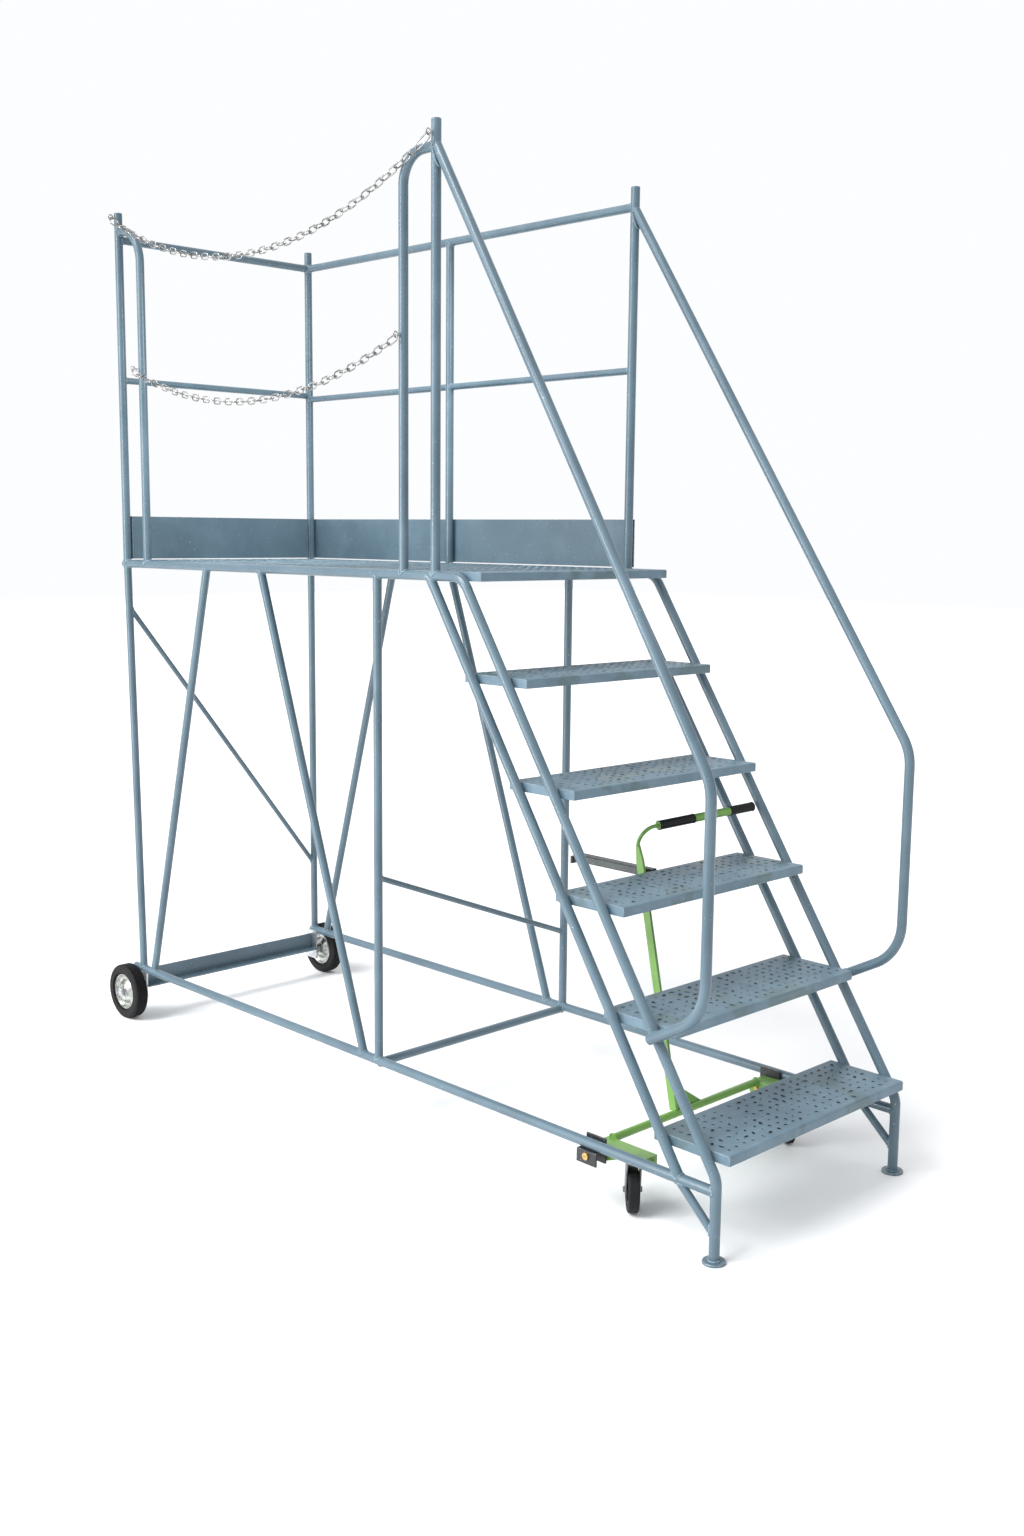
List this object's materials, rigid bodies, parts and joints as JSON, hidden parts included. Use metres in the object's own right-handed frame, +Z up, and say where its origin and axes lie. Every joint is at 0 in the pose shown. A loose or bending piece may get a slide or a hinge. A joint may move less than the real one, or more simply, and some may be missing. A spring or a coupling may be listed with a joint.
{
  "type": "rolling warehouse ladder",
  "caption": "Mobile access platform of bent steel tube: pressed treads, guardrail, chain gate, fixed rear wheels and swivel castors let down by a lever.",
  "frame": {"origin": "on the floor at the middle of the footprint", "axes": "+X towards the foot of the steps, +Y towards the guardrail side, +Z up"},
  "size_m": [2.5676, 0.878, 2.608],
  "materials": {
    "frame_paint": "semi-gloss",
    "lift_green": "semi-gloss",
    "bracket_black": "satin",
    "zinc": "bright zinc plate",
    "pin_brass": "satin",
    "tyre": "matte",
    "hub_plastic": "matte",
    "grip_rubber": "matte",
    "cap_plastic": "semi-gloss"
  },
  "bodies": {
    "frame": {"near_side_tube": "frame_paint", "far_side_tube": "frame_paint", "near_rear_stringer": "frame_paint", "far_rear_stringer": "frame_paint", "near_base_rail": "frame_paint", "far_base_rail": "frame_paint", "near_rear_post": "frame_paint", "near_front_post": "frame_paint", "far_rear_post": "frame_paint", "far_mid_post": "frame_paint", "far_front_post": "frame_paint", "near_legs": "frame_paint", "far_legs": "frame_paint", "near_braces": "frame_paint", "far_braces": "frame_paint", "cross_ties": "frame_paint", "rear_cross_angle": "frame_paint", "rear_rails": "frame_paint", "far_rails": "frame_paint", "rear_hoop": "frame_paint", "front_hoop": "frame_paint", "near_handrail": "frame_paint", "far_handrail": "frame_paint", "rear_toe_board": "frame_paint", "far_toe_board": "frame_paint", "deck_planks": "frame_paint", "nose_plank": "frame_paint", "tread_1": "frame_paint", "tread_2": "frame_paint", "tread_3": "frame_paint", "tread_4": "frame_paint", "tread_5": "frame_paint", "feet": "frame_paint", "post_caps": "cap_plastic", "wheel_brackets": "zinc", "wheel_nuts": "zinc", "chain_eyes": "zinc", "pivot_brackets": "bracket_black", "pivot_pins": "pin_brass", "latch_bar": "frame_paint"},
    "lift": {"lift_arms": "lift_green", "cross_bar": "lift_green", "lever": "lift_green", "handle_rod": "lift_green", "handle_sleeve": "lift_green", "grips": "grip_rubber", "castor_heads": "zinc"},
    "near_castor": {"near_castor_fork": "zinc"},
    "near_castor_wheel": {"near_castor_tyre": "tyre", "near_castor_hub": "hub_plastic"},
    "far_castor": {"far_castor_fork": "zinc"},
    "far_castor_wheel": {"far_castor_tyre": "tyre", "far_castor_hub": "hub_plastic"},
    "near_wheel": {"near_wheel_tyre": "tyre", "near_wheel_hub": "zinc"},
    "far_wheel": {"far_wheel_tyre": "tyre", "far_wheel_hub": "zinc"},
    "upper_chain": {"upper_chain": "zinc"},
    "lower_chain": {"lower_chain": "zinc"}
  },
  "joints": [
    {"name": "near_wheel_spin", "type": "hinge", "parent": "frame", "child": "near_wheel", "pos_m": [-1.19375, -0.4065, 0.09], "axis": [0, 1, 0], "continuous": true},
    {"name": "far_wheel_spin", "type": "hinge", "parent": "frame", "child": "far_wheel", "pos_m": [-1.19375, 0.4065, 0.09], "axis": [0, 1, 0], "continuous": true},
    {"name": "lift_lever", "type": "hinge", "parent": "frame", "child": "lift", "pos_m": [0.87725, 0, 0.14], "axis": [0, 1, 0], "range_deg": [-16, 0.3]},
    {"name": "near_castor_swivel", "type": "hinge", "parent": "lift", "child": "near_castor", "pos_m": [0.96825, -0.314, 0.135], "axis": [0, 0, 1], "continuous": true},
    {"name": "near_castor_spin", "type": "hinge", "parent": "near_castor", "child": "near_castor_wheel", "pos_m": [0.95509, -0.30172, 0.057], "axis": [-0.682, -0.7314, 0], "continuous": true},
    {"name": "far_castor_swivel", "type": "hinge", "parent": "lift", "child": "far_castor", "pos_m": [0.96825, 0.314, 0.135], "axis": [0, 0, 1], "continuous": true},
    {"name": "far_castor_spin", "type": "hinge", "parent": "far_castor", "child": "far_castor_wheel", "pos_m": [0.95509, 0.32628, 0.057], "axis": [-0.682, -0.7314, 0], "continuous": true},
    {"name": "upper_chain_swing", "type": "hinge", "parent": "frame", "child": "upper_chain", "pos_m": [-0.44375, -0.392, 2.573], "axis": [1, 0, 0], "range_deg": [-35, 0]},
    {"name": "lower_chain_swing", "type": "hinge", "parent": "frame", "child": "lower_chain", "pos_m": [-0.44375, -0.392, 2.107], "axis": [1, 0, 0], "range_deg": [-35, 0]}
  ]
}
